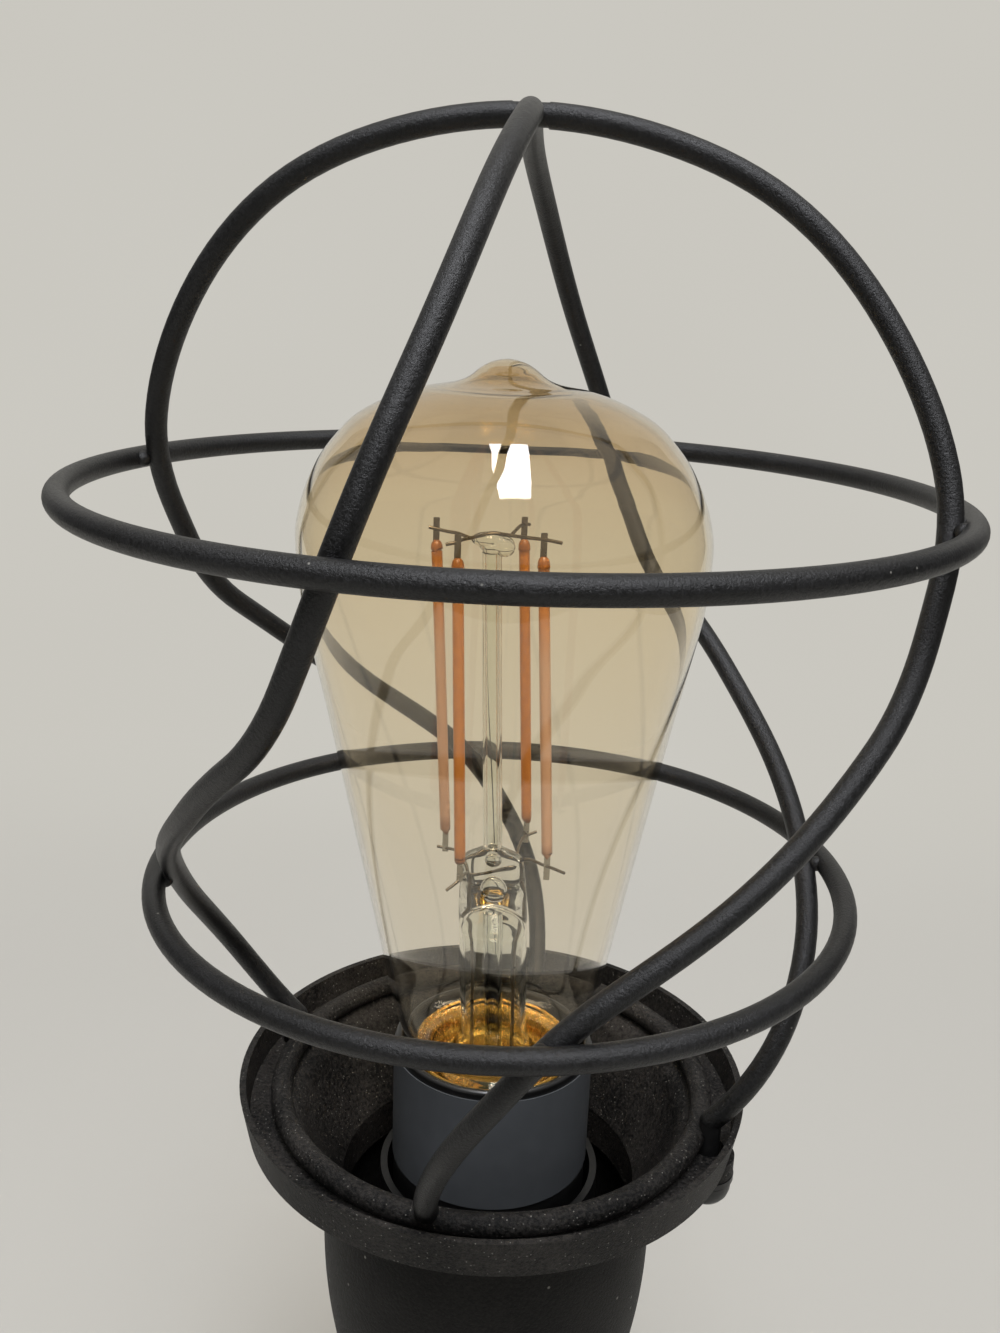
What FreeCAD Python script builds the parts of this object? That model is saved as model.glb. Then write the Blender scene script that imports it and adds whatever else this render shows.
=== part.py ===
import FreeCAD, Part
import math, os
from FreeCAD import Vector

# Cage table lamp: a twisted wire cage round a filament lamp, on a turned metal base.
# Millimetres, +Z up, origin at the middle of the foot's underside, front towards -Y.

# Overrun of every cutter past the face that it cuts
overrun = 1.0
# Radial clearance between fixed pieces that slip together
slip_fit = 0.05
# Gap left between a part and a seat that it is pressed or screwed on to
seat_gap = 0.3
# Share of a length below which it counts as nothing
tiny_share = 1e-6

# Cage: wire, rings and dome; every drop is measured down from the widest ring
wire_d = 3.6
upper_ring_z = 296.0
upper_ring_d = 132.0
lower_ring_d = 111.0
lower_ring_drop = 62.4
bottom_ring_d = 72.4
bottom_ring_drop = 103.2
dome_h = 52.6
weld_sink = 0.35
foot_lift = 1.0
weld_bead_d = 2.6
apex_weld_d = 3.3
apex_weld_w = 0.9

# Course of one cage rod: its turn at the widest ring, the lower ring and the bottom ring
upper_turn_deg = 18.0
lower_turn_deg = 81.5
foot_turn_deg = 104.0
# Dome: shares of the radius, of the height and of the turn
dome_shares = [(0.305, 0.948, 0.10), (0.58, 0.80, 0.30), (0.835, 0.48, 0.58), (0.945, 0.24, 0.79)]
# Belt: shares of the drop, of the step in radius and of the turn
belt_shares = [(0.17, 0.05, 0.065), (0.36, 0.20, 0.165), (0.50, 0.41, 0.315),
               (0.65, 0.64, 0.50), (0.80, 0.85, 0.72)]
# Skirt: shares of the drop, of the step in radius and of the turn
skirt_shares = [(0.18, 0.04, 0.27), (0.38, 0.14, 0.53), (0.60, 0.32, 0.75), (0.82, 0.62, 0.90)]
rod_span_count = 14

# Threaded ends of the hoop, just outside the bottom ring, with their washers and round nuts
stud_out = 2.3
stud_turn_deg = 20.0
nut_fit = 0.08
stud_hole_d = 5.4
boss_d = 8.8
boss_h = 2.2
nut_washer_d = 9.0
nut_washer_t = 1.0
nut_d = 8.4
nut_h = 4.6
nut_dome_h = 1.8
nut_bore_depth = 3.2
stud_end_gap = 1.0
nut_seat_gap = 0.1

# Gallery: the dished top of the base; its radii are measured from the bottom ring's wire
lip_out = 7.0
lip_rise = 4.7
lip_draft = 1.2
lip_top_t = 1.1
ledge_t = 1.9
ledge_in = 1.7
ledge_round = 2.6
# Rounded inner edge of the ledge: shares of ledge_round, inwards and down
ledge_round_shares = [(0.35, 0.40), (1.0, 1.35)]
gallery_wall = 1.5
mouth_in = 10.5
mouth_drop = 15.6
spigot_t = 1.2
spigot_h = 7.0
ring_seat_gap = 0.3

# Bulbous body under the gallery: radii out from the gallery's mouth, drops from the seat
body_top_out = 2.5
body_max_out = 3.35
body_max_drop = 15.6
body_mid_out = 0.7
body_mid_drop = 36.1
body_low_d = 22.0
body_h = 68.6
body_wall = 1.7
body_floor_t = 2.4

# Threaded rod on the axis with its nuts, washers and spacer
rod_d = 10.2
rod_bore_d = 6.8
rod_low_gap = 1.4
nut_across = 15.0
hex_nut_h = 4.0
washer_d = 19.0
washer_t = 1.2
spacer_d = 15.0

# Turned stem and its two collars
upper_collar_d = 27.0
upper_collar_h = 7.0
stem_top_d = 17.0
stem_waist_d = 13.6
stem_swell_d = 20.0
stem_cove_d = 14.6
stem_low_d = 24.0
# Waist, swell and cove: shares of the stem's length, down from its top
stem_shares = (0.149, 0.537, 0.836)
lower_collar_d = 33.0
lower_collar_h = 6.0

# Foot with its iron weight, felt pad and cord inlet
foot_d = 124.0
foot_rim_h = 10.0
foot_shoulder_in = 8.0
foot_shoulder_h = 6.0
foot_top_d = 30.0
foot_top_z = 28.0
foot_wall = 1.6
# Middle points of the foot's two arcs: shares of the step in radius and of the rise
foot_shoulder_shares = (0.30, 0.72)
foot_top_shares = (0.55, 0.22)
pad_t = 2.0
pad_inset = 0.8
weight_in = 10.0
weight_t = 11.0
weight_lift = 1.0
weight_hub_d = 36.0
weight_hub_top_d = 24.0
weight_recess_gap = 1.0
weight_recess_h = 7.0
inlet_gap = 0.2
inlet_hole_d = 8.0
inlet_bore_d = 5.6
inlet_flange_w = 0.8
inlet_flange_t = 1.5

# Lamp socket: cup, shell, bare label sleeve, insulator and contacts, built out from the lamp's cap
cup_gap = 1.1
cup_wall = 1.2
cup_h = 15.5
cup_round = 2.2
shell_gap = 1.9
socket_wall = 1.3
socket_floor_t = 3.2
socket_rise = 1.5
socket_rim_round = 0.6
label_t = 0.2
label_drop = 1.5
label_h = 20.6
insulator_h = 7.5
insulator_bore_d = 6.8
shell_wall = 0.4
contact_t = 0.8
contact_w = 7.0
contact_reach = 3.6
contact_rise = 1.1
contact_tail = 11.0
contact_bend_near = 2.4
contact_bend_far = 4.6
rivet_head_d = 3.6
rivet_head_h = 0.9
rivet_d = 2.0
rivet_place = 8.0

# Lamp cap: screw shell, insulator, centre contact and driver board
cap_d = 26.0
cap_wall = 0.4
cap_h = 19.5
cap_collar_w = 1.2
cap_collar_h = 1.2
thread_pitch = 3.63
thread_depth = 0.9
thread_count = 4
cone_h = 4.0
cone_low_d = 12.0
cone_seat_h = 1.5
tip_contact_d = 9.6
tip_contact_h = 1.6
board_w = 14.0
board_h = 12.0
board_t = 1.6
board_drop = 5.7

# Lamp glass: largest diameter and its drop, length from there to the cap, wall and neck
glass_d = 63.5
glass_drop = 8.0
glass_l = 87.8
glass_wall = 0.9
glass_neck_gap = 0.5
glass_neck_l = 4.7
# Crown: shares of the largest radius, and rises as shares of the length
glass_crown_shares = [(0.075, 0.304), (0.145, 0.295), (0.208, 0.2802), (0.3, 0.2718),
                      (0.42, 0.2602), (0.56, 0.2413), (0.709, 0.2118), (0.806, 0.1766),
                      (0.882, 0.1401), (0.948, 0.0911), (0.986, 0.0455)]
glass_tip_share = 0.3064
# Flank: shares of the step from the neck out to the largest radius, and drops as shares of the length
glass_flank_shares = [(0.9737, 0.0911), (0.8996, 0.1823), (0.7976, 0.296), (0.6817, 0.433),
                      (0.5473, 0.5921), (0.3944, 0.7743), (0.2986, 0.8881), (0.2399, 0.9408),
                      (0.1688, 0.9714), (0.0884, 0.9903)]

# Lamp inside: glass stem, measured from the cap's upper rim, with the press and exhaust tube
stem_tube_d = 11.4
stem_tube_wall = 0.8
stem_tube_rise = 26.8
mount_lean = 0.038
flare_rise = 4.8
flare_drop = 3.7
flare_shares = (0.28, 0.60)
press_h = 10.5
press_top_d = 6.4
press_t = 5.2
exhaust_d = 3.0
exhaust_top_drop = 9.0
bead_d = 5.2

# Lamp filaments, their end tabs, supports and lead wires
filament_count = 4
filament_d = 1.9
filament_l = 48.0
filament_top_drop = 9.0
filament_circle_d = 19.6
filament_turn_deg = -30.0
tab_w = 1.0
tab_t = 0.4
tab_l = 4.4
support_d = 0.6
lead_d = 0.7
lead_spread = 6.0


# Points, outlines and turned solids
def polar(r, z, deg=0.0):
    a = math.radians(deg)
    return Vector(r * math.cos(a), r * math.sin(a), z)


def arc_edge(a, corner, b):
    # Arc from a to b that is tangent to both legs of the corner
    middle = (a + b) * 0.5
    half = (b - a).Length / 2
    rise = corner - middle
    if rise.Length < tiny_share * half:
        return Part.LineSegment(a, b).toShape()
    side = math.hypot(rise.Length, half)
    rise.multiply(half / (side + half))
    return Part.Arc(a, middle + rise, b).toShape()


def outline(start, *steps):
    # Open run in the XZ plane. A step is a point (r, z), ("via", mid, end) for an arc through
    # a middle point, or ("on", end) for an arc that runs on smoothly
    edges, here, way = [], Vector(start[0], 0, start[1]), None
    for step in steps:
        if step[0] == "via":
            end = Vector(step[2][0], 0, step[2][1])
            edge = Part.Arc(here, Vector(step[1][0], 0, step[1][1]), end).toShape()
        elif step[0] == "on":
            end = Vector(step[1][0], 0, step[1][1])
            v = end - here
            edge = arc_edge(here, here + way * (v.dot(v) / (2 * v.dot(way))), end)
        else:
            end = Vector(step[0], 0, step[1])
            if (end - here).Length < tiny_share * overrun:
                continue
            edge = Part.LineSegment(here, end).toShape()
        edges.append(edge)
        way = edge.tangentAt(edge.LastParameter)
        if (edge.valueAt(edge.LastParameter) - end).Length > tiny_share * overrun:
            way = edge.tangentAt(edge.FirstParameter) * -1
        here = end
    return edges


def turned(start, *steps):
    edges = outline(start, *(steps + (start,)))
    return Part.Face(Part.Wire(edges)).revolve(Vector(0, 0, 0), Vector(0, 0, 1), 360)


def inset_back(edges, wall):
    # Steps that run back along the same course, moved to its left-hand side by the wall
    steps = []
    for edge in reversed(edges):
        marks = [edge.LastParameter, (edge.FirstParameter + edge.LastParameter) / 2, edge.FirstParameter]
        spots = []
        for m in marks:
            t = edge.tangentAt(m)
            p = edge.valueAt(m) + Vector(-t.z, 0, t.x) * wall
            spots.append((p.x, p.z))
        steps += [spots[0]] if not steps else []
        straight = edge.Curve.TypeId == "Part::GeomLine"
        steps.append(spots[2] if straight else ("via", spots[1], spots[2]))
    return steps


def cap_middle(r, pole_z, h):
    # Middle point of the arc of a spherical cap, from its rim to its pole on the axis
    ball = (r * r + h * h) / (2 * abs(h))
    half = math.asin(r / ball) / 2
    return (ball * math.sin(half), pole_z + math.copysign(ball * (1 - math.cos(half)), h))


def smooth(points):
    # Smooth run in the XZ plane through points (r, z)
    curve = Part.BSplineCurve()
    curve.interpolate([Vector(r, 0, z) for r, z in points])
    return curve.toShape()


def tube(r_out, r_in, z_low, z_high):
    solid = Part.makeCylinder(r_out, z_high - z_low, Vector(0, 0, z_low))
    if r_in > 0:
        solid = solid.cut(Part.makeCylinder(r_in, z_high - z_low + 2 * overrun,
                                            Vector(0, 0, z_low - overrun)))
    return solid


def bar(a, b, d):
    return Part.makeCylinder(d / 2, (b - a).Length, a, b - a)


def hexagon(across, z_low, z_high, bore_r):
    points = [polar(across / math.sqrt(3), z_low, 60 * i + 30) for i in range(7)]
    solid = Part.Face(Part.makePolygon(points)).extrude(Vector(0, 0, z_high - z_low))
    return solid.cut(Part.makeCylinder(bore_r, z_high - z_low + 2 * overrun,
                                       Vector(0, 0, z_low - overrun)))


def moved(shape, to):
    shape = shape.copy()
    shape.translate(to)
    return shape


def save(name, *shapes):
    solids = [s for shape in shapes for s in shape.Solids]
    assert solids and all(s.isValid() and s.Volume > 0 for s in solids), name
    out = solids[0] if len(solids) == 1 else Part.Compound(solids)
    out.exportStep("parts/" + name + ".step")


# Wire courses: tangent arcs between evenly spaced points of a smooth curve
def arcs_through(points, spans):
    curve = Part.BSplineCurve()
    curve.interpolate(Points=points)
    length = curve.length()
    marks = [curve.parameterAtDistance(length * i / spans, curve.FirstParameter)
             for i in range(spans + 1)]
    places = [curve.value(m) for m in marks]
    ways = [Vector(*curve.tangent(m)[0]) for m in marks]
    edges = []
    for a, b, s, t in zip(places, places[1:], ways, ways[1:]):
        v = b - a
        lean = v.dot(s + t)
        d = v.dot(v) / (lean + math.sqrt(lean * lean + 2 * (1 - s.dot(t)) * v.dot(v)))
        joint = (a + s * d + b - t * d) * 0.5
        edges += [arc_edge(a, a + s * d, joint), arc_edge(joint, b - t * d, b)]
    return edges, places, ways


def swept(edges, at, way, d):
    circle = Part.Wire(Part.makeCircle(d / 2, at, way))
    return Part.Wire(edges).makePipeShell([circle], True, False)


# Heights and radii that several pieces share
wire_r = wire_d / 2
rod_r = rod_d / 2
hole_r = rod_r + slip_fit
apex_z = upper_ring_z + dome_h
lower_ring_z = upper_ring_z - lower_ring_drop
bottom_ring_z = upper_ring_z - bottom_ring_drop
bottom_ring_r = bottom_ring_d / 2
cage_upper_r = upper_ring_d / 2 - wire_d + weld_sink
cage_lower_r = lower_ring_d / 2 - wire_d + weld_sink
stud_r = bottom_ring_r + stud_out
ledge_z = bottom_ring_z - wire_r - ring_seat_gap
ledge_low_z = ledge_z - ledge_t
boss_low_z = ledge_low_z - boss_h
nut_top_z = boss_low_z - 2 * nut_seat_gap - nut_washer_t
stud_low_z = nut_top_z - nut_bore_depth + stud_end_gap
mouth_r = bottom_ring_r - mouth_in
mouth_z = ledge_z - mouth_drop
spigot_r = mouth_r + spigot_t
seat_z = mouth_z + gallery_wall
body_low_z = seat_z - body_h
foot_r = foot_d / 2
pad_top_z = pad_t
stem_low_z = foot_top_z + lower_collar_h
stem_top_z = body_low_z - upper_collar_h
inlet_r = inlet_hole_d / 2
inlet_flange_r = inlet_r + inlet_flange_w

# Lamp and socket, down from the cap's upper rim and out from the cap's thread
cap_r = cap_d / 2
cap_root_r = cap_r - thread_depth
cap_top_z = upper_ring_z - glass_drop - glass_l
cap_low_z = cap_top_z - cap_h
tip_low_z = cap_low_z - cone_h - tip_contact_h
neck_r = cap_root_r - cap_wall - glass_neck_gap
stem_tube_z = cap_top_z + stem_tube_rise
press_top_z = stem_tube_z + press_h
shell_r = cap_r + seat_gap
socket_r = shell_r + shell_wall + shell_gap + socket_wall
socket_top_z = cap_top_z + socket_rise
contact_z = tip_low_z - seat_gap - contact_t
insulator_top_z = contact_z - contact_rise
insulator_low_z = insulator_top_z - insulator_h
socket_low_z = insulator_low_z - socket_floor_t
cup_low_z = socket_low_z - cup_wall
cup_r = socket_r + cup_gap + cup_wall


# Cage: a hoop over the top, two side rods and three rings, welded together
def rod_points(azimuth, end_r, end_deg, end_z):
    # From the dome down to the foot, turning clockwise seen from above
    points = []
    for r_share, h_share, turn_share in dome_shares:
        points.append(polar(cage_upper_r * r_share, upper_ring_z + dome_h * h_share,
                            azimuth - upper_turn_deg * turn_share))
    points.append(polar(cage_upper_r, upper_ring_z, azimuth - upper_turn_deg))
    belt_turn = lower_turn_deg - upper_turn_deg
    for drop_share, r_share, turn_share in belt_shares:
        points.append(polar(cage_upper_r + (cage_lower_r - cage_upper_r) * r_share,
                            upper_ring_z - lower_ring_drop * drop_share,
                            azimuth - upper_turn_deg - belt_turn * turn_share))
    points.append(polar(cage_lower_r, lower_ring_z, azimuth - lower_turn_deg))
    skirt_turn = end_deg - lower_turn_deg
    for drop_share, r_share, turn_share in skirt_shares:
        points.append(polar(cage_lower_r + (end_r - cage_lower_r) * r_share,
                            lower_ring_z - (lower_ring_z - end_z) * drop_share,
                            azimuth - lower_turn_deg - skirt_turn * turn_share))
    points.append(polar(end_r, end_z, azimuth - end_deg))
    return points


def rod_pair(azimuth, end_r, end_deg, end_z):
    front = rod_points(azimuth, end_r, end_deg, end_z)
    back = rod_points(azimuth + 180, end_r, end_deg, end_z)
    course = list(reversed(front)) + [Vector(0, 0, apex_z)] + back
    return arcs_through(course, 2 * rod_span_count)


def make_cage():
    foot_z = bottom_ring_z + foot_lift
    # The hoop's feet lead into the studs, just outside the bottom ring
    edges, places, ways = rod_pair(-90, stud_r, 90 + stud_turn_deg, foot_z + wire_r)
    hoop = swept(edges, places[0], ways[0], wire_d)
    ends = [(places[0], ways[0]), (places[-1], ways[-1])]
    hoop = hoop.fuse([Part.makeSphere(wire_r, p) for p, w in ends])
    edges, places, ways = rod_pair(0, bottom_ring_r, foot_turn_deg, foot_z)
    half, middle = len(edges) // 2, rod_span_count
    sides = [swept(edges[half:], places[middle], ways[middle], wire_d),
             swept(edges[:half], places[0], ways[0], wire_d)]
    feet = [places[-1], places[0]]
    sides = [s.fuse(Part.makeSphere(wire_r, p)).cut(apex_post()) for s, p in zip(sides, feet)]
    rings = [Part.makeTorus(d / 2, wire_r, Vector(0, 0, z))
             for d, z in ((upper_ring_d, upper_ring_z), (lower_ring_d, lower_ring_z))]
    rings = [ring.cut([hoop] + sides) for ring in rings]
    studs = []
    for end, way in ends:
        studs.append(bar(end, Vector(end.x, end.y, stud_low_z), wire_d).cut(hoop))
    bottom = Part.makeTorus(bottom_ring_r, wire_r, Vector(0, 0, bottom_ring_z))
    bottom = bottom.cut([hoop] + studs)
    sides = [s.cut(bottom) for s in sides]
    return hoop, sides, rings + [bottom], studs, ends


def apex_post():
    # The side rods stop at this post, short of the hoop, and the welds fill it
    return Part.makeCylinder(wire_r + apex_weld_w, 2 * wire_d, Vector(0, 0, apex_z - wire_d))


def make_welds(hoop, rings):
    # Small beads beside each rod where it crosses a ring, and necks to the side rods at the top
    beads = []
    for ring, ring_r, ring_z, turn in ((rings[0], upper_ring_d / 2, upper_ring_z, upper_turn_deg),
                                       (rings[1], lower_ring_d / 2, lower_ring_z, lower_turn_deg)):
        step = math.degrees((wire_r + weld_bead_d / 8) / ring_r)
        for side in (-1, 1):
            at = polar(ring_r - wire_r + weld_sink / 2, ring_z, -90 - turn + side * step)
            bead = clear_bead(Part.makeSphere(weld_bead_d / 2, at), [hoop, ring])
            for quarter in range(4):
                beads.append(bead.copy())
                beads[-1].rotate(Vector(0, 0, 0), Vector(0, 0, 1), 90 * quarter)
    apex = Vector(0, 0, apex_z)
    for side in (-1, 1):
        neck = bar(apex, apex + Vector(side * wire_d, 0, 0), apex_weld_d).common(apex_post())
        beads.append(clear_bead(neck, [hoop]))
    return beads


def clear_bead(bead, solids):
    # Only the stretch of each solid near the bead is cut from it
    box = bead.BoundBox
    block = Part.makeBox(box.XLength + 2 * overrun, box.YLength + 2 * overrun, box.ZLength + 2 * overrun,
                         Vector(box.XMin - overrun, box.YMin - overrun, box.ZMin - overrun))
    for solid in solids:
        near = solid.common(block)
        if near.Solids:
            bead = bead.cut(near)
    return max(bead.Solids, key=lambda s: s.Volume)


# Round nuts and their washers under the gallery
def make_nut(at):
    top, r = nut_top_z, nut_d / 2
    low = top - nut_h
    nut = turned((0, top), (r, top), (r, low + nut_dome_h), ("via", cap_middle(r, low, nut_dome_h), (0, low)))
    bore = Part.makeCylinder(wire_r + nut_fit, nut_bore_depth + overrun, Vector(0, 0, top - nut_bore_depth))
    return moved(nut.cut(bore), Vector(at.x, at.y, 0))


def make_nut_washer(at):
    top = boss_low_z - nut_seat_gap
    washer = tube(nut_washer_d / 2, wire_r + nut_fit, top - nut_washer_t, top)
    return moved(washer, Vector(at.x, at.y, 0))


# Gallery
def make_gallery(stud_places):
    lip_top_z = ledge_z + lip_rise
    out_r = bottom_ring_r + lip_out
    wall_r = out_r - lip_draft
    inner_r = out_r - lip_top_t
    ledge_r = bottom_ring_r - ledge_in
    (mid_in, mid_down), (end_in, end_down) = ledge_round_shares
    slope = Vector(ledge_r - ledge_round * end_in - mouth_r, 0, mouth_drop - ledge_round * end_down)
    out = Vector(slope.z, 0, -slope.x) * (gallery_wall / slope.Length)
    seat_r = mouth_r + out.x + (seat_z - mouth_z - out.z) * slope.x / slope.z
    under_r = mouth_r + out.x + (ledge_low_z - mouth_z - out.z) * slope.x / slope.z
    gallery = turned((out_r, lip_top_z), (inner_r, lip_top_z), (wall_r - lip_top_t / 2, ledge_z),
                     (ledge_r + ledge_round / 2, ledge_z),
                     ("via", (ledge_r - ledge_round * mid_in, ledge_z - ledge_round * mid_down),
                      (ledge_r - ledge_round * end_in, ledge_z - ledge_round * end_down)),
                     (mouth_r, mouth_z), (mouth_r, mouth_z - spigot_h),
                     (spigot_r, mouth_z - spigot_h), (spigot_r, seat_z), (seat_r, seat_z),
                     (under_r, ledge_low_z), (wall_r, ledge_low_z))
    bosses, holes = [], []
    for p in stud_places:
        bosses.append(Part.makeCylinder(boss_d / 2, ledge_low_z - boss_low_z + ledge_t / 2,
                                        Vector(p.x, p.y, boss_low_z)))
        holes.append(Part.makeCylinder(stud_hole_d / 2, lip_rise + ledge_t + boss_h + 2 * overrun,
                                       Vector(p.x, p.y, boss_low_z - overrun)))
    return gallery.fuse(bosses).cut(holes)


# Bulbous body
def make_body():
    start = (mouth_r + body_top_out, seat_z)
    steps = [("via", (mouth_r + body_max_out, seat_z - body_max_drop),
              (mouth_r + body_mid_out, seat_z - body_mid_drop)), ("on", (body_low_d / 2, body_low_z))]
    back = inset_back(outline(start, *steps), -body_wall)
    top_in, low_in = back[-1][2], back[0]
    body = turned(start, *steps, (low_in[0], body_low_z), *back, (top_in[0], seat_z))
    floor = tube(low_in[0] + body_wall / 2, 0, body_low_z, body_low_z + body_floor_t)
    body = body.fuse(floor).cut(Part.makeCylinder(hole_r, body_floor_t + 2 * overrun,
                                                  Vector(0, 0, body_low_z - overrun)))
    return body.cut(Part.makeCylinder(spigot_r + slip_fit, spigot_h + 2 * overrun,
                                      Vector(0, 0, seat_z - spigot_h - overrun)))


# Stem and collars
def make_collar(r, z_low, h, bore_r):
    return turned((bore_r, z_low), (r - h / 2, z_low), ("via", (r, z_low + h / 2), (r - h / 2, z_low + h)),
                  (bore_r, z_low + h))


def make_stem():
    top, low = stem_top_z, stem_low_z
    points = [(stem_top_d / 2, top)]
    for d, share in zip((stem_waist_d, stem_swell_d, stem_cove_d), stem_shares):
        points.append((d / 2, top + (low - top) * share))
    run = smooth(points + [(stem_low_d / 2, low)])
    edges = [run] + outline((stem_low_d / 2, low), (hole_r, low), (hole_r, top), (stem_top_d / 2, top))
    return Part.Face(Part.Wire(edges)).revolve(Vector(0, 0, 0), Vector(0, 0, 1), 360)


# Threaded rod, its nuts, washers and spacer
def make_rod():
    return tube(rod_r, rod_bore_d / 2, pad_top_z + rod_low_gap, insulator_low_z - seat_gap)


# Foot, weight, pad and cord inlet
def make_foot():
    rim_z = pad_top_z + foot_rim_h
    rim_r, shoulder_r, top_r = foot_r, foot_r - foot_shoulder_in, foot_top_d / 2
    shoulder_z = rim_z + foot_shoulder_h
    in_share, up_share = foot_shoulder_shares
    shoulder_mid = (rim_r + (shoulder_r - rim_r) * in_share, rim_z + foot_shoulder_h * up_share)
    in_share, up_share = foot_top_shares
    top_mid = (shoulder_r + (top_r - shoulder_r) * in_share, shoulder_z + (foot_top_z - shoulder_z) * up_share)
    start = (rim_r, pad_top_z)
    steps = [(rim_r, rim_z), ("via", shoulder_mid, (shoulder_r, shoulder_z)),
             ("via", top_mid, (top_r, foot_top_z))]
    back = inset_back(outline(start, *steps), foot_wall)
    under = back[0][0] - foot_wall
    foot = turned(start, *steps, (hole_r, foot_top_z), (hole_r, foot_top_z - foot_wall),
                  (under, foot_top_z - foot_wall), *back)
    return foot.cut(inlet_cylinder(inlet_r, foot_wall + 2 * overrun, overrun))


def inlet_cylinder(r, length, past):
    # Cylinder across the rear rim at the cord inlet, standing out past its outer face
    z = pad_top_z + inlet_flange_r + inlet_gap
    return Part.makeCylinder(r, length, Vector(0, foot_r + past - length, z), Vector(0, 1, 0))


def make_inlet():
    length = foot_wall + 2 * inlet_flange_t
    rim = tube(foot_r + seat_gap, foot_r - foot_wall - seat_gap, 0, pad_top_z + foot_rim_h)
    flanges = inlet_cylinder(inlet_flange_r, length, inlet_flange_t).cut(rim)
    shank = inlet_cylinder(inlet_r - slip_fit, length, inlet_flange_t)
    bore = inlet_cylinder(inlet_bore_d / 2, length + 2 * overrun, inlet_flange_t + overrun)
    return flanges.fuse(shank).cut(bore)


def make_weight():
    low = pad_top_z + weight_lift
    recess_r, recess_z = washer_d / 2 + weight_recess_gap, low + weight_recess_h
    rim_r = foot_r - weight_in
    return turned((recess_r, low), (rim_r, low), (rim_r, low + weight_t),
                  (weight_hub_d / 2, low + weight_t), (weight_hub_top_d / 2, foot_top_z - foot_wall - seat_gap),
                  (hole_r, foot_top_z - foot_wall - seat_gap), (hole_r, recess_z), (recess_r, recess_z))


# Socket cup, shell, insulator and contacts
def make_cup():
    r, low, top = cup_r, cup_low_z, cup_low_z + cup_h
    start = (hole_r, low)
    bend = arc_edge(Vector(r - cup_round, 0, low), Vector(r, 0, low), Vector(r, 0, low + cup_round))
    mid = bend.valueAt((bend.FirstParameter + bend.LastParameter) / 2)
    steps = [(r - cup_round, low), ("via", (mid.x, mid.z), (r, low + cup_round)), (r, top)]
    back = inset_back(outline(start, *steps), cup_wall)
    return turned(start, *steps, *back)


def make_socket_shell():
    r, bore_r, b = socket_r, socket_r - socket_wall, socket_rim_round
    top = socket_top_z
    return turned((hole_r, socket_low_z), (r, socket_low_z), (r, top - b),
                  ("via", (r - socket_wall / 2, top), (bore_r, top - b)),
                  (bore_r, insulator_low_z), (hole_r, insulator_low_z))


def rivet_spot(z):
    return Vector(-rivet_place, 0, z)


def make_insulator():
    block = tube(socket_r - socket_wall - slip_fit, insulator_bore_d / 2, insulator_low_z, insulator_top_z)
    return block.cut(Part.makeCylinder(rivet_d / 2 + slip_fit, insulator_h + 2 * overrun,
                                       rivet_spot(insulator_low_z - overrun)))


def make_centre_contact():
    # A springy strip that rises from the rivet to just under the lamp's tip
    low, high = insulator_top_z, contact_z
    run = [(-contact_tail, low), (-contact_bend_far, low), (-contact_bend_near, high), (contact_reach, high)]
    points = run + [(x, z + contact_t) for x, z in reversed(run)] + run[:1]
    face = Part.Face(Part.makePolygon([Vector(x, -contact_w / 2, z) for x, z in points]))
    strip = face.extrude(Vector(0, contact_w, 0))
    return strip.cut(Part.makeCylinder(rivet_d / 2 + slip_fit, contact_t + 2 * overrun,
                                       rivet_spot(low - overrun)))


def make_rivet():
    head_z = insulator_top_z + contact_t
    shank = Part.makeCylinder(rivet_d / 2, head_z - insulator_low_z, rivet_spot(insulator_low_z))
    return shank.fuse(Part.makeCylinder(rivet_head_d / 2, rivet_head_h, rivet_spot(head_z)))


# Lamp cap
def make_cap():
    root, collar_r = cap_root_r, cap_r + cap_collar_w
    collar_z = cap_top_z - cap_collar_h
    start, steps, z = (root, cap_low_z), [], cap_low_z
    for _ in range(thread_count):
        steps.append(("via", (cap_r, z + thread_pitch / 2), (root, z + thread_pitch)))
        z += thread_pitch
    steps.append((root, collar_z))
    back = inset_back(outline(start, *steps), cap_wall)
    return turned(start, *steps, (collar_r, collar_z), (collar_r, cap_top_z), (back[0][0], cap_top_z), *back)


def make_cap_insulator():
    r = cap_root_r - cap_wall - seat_gap
    low = cap_low_z - cone_h
    return turned((0, low), (cone_low_d / 2, low), (r, cap_low_z), (r, cap_low_z + cone_seat_h),
                  (0, cap_low_z + cone_seat_h))


def make_tip_contact():
    r, top = tip_contact_d / 2, cap_low_z - cone_h
    return turned((0, tip_low_z), (r - tip_contact_h / 2, tip_low_z), (r, tip_low_z + tip_contact_h / 2),
                  (r, top), (0, top))


def make_board():
    top = cap_top_z - board_drop
    return Part.makeBox(board_w, board_t, board_h, Vector(-board_w / 2, -board_t / 2, top - board_h))


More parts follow.
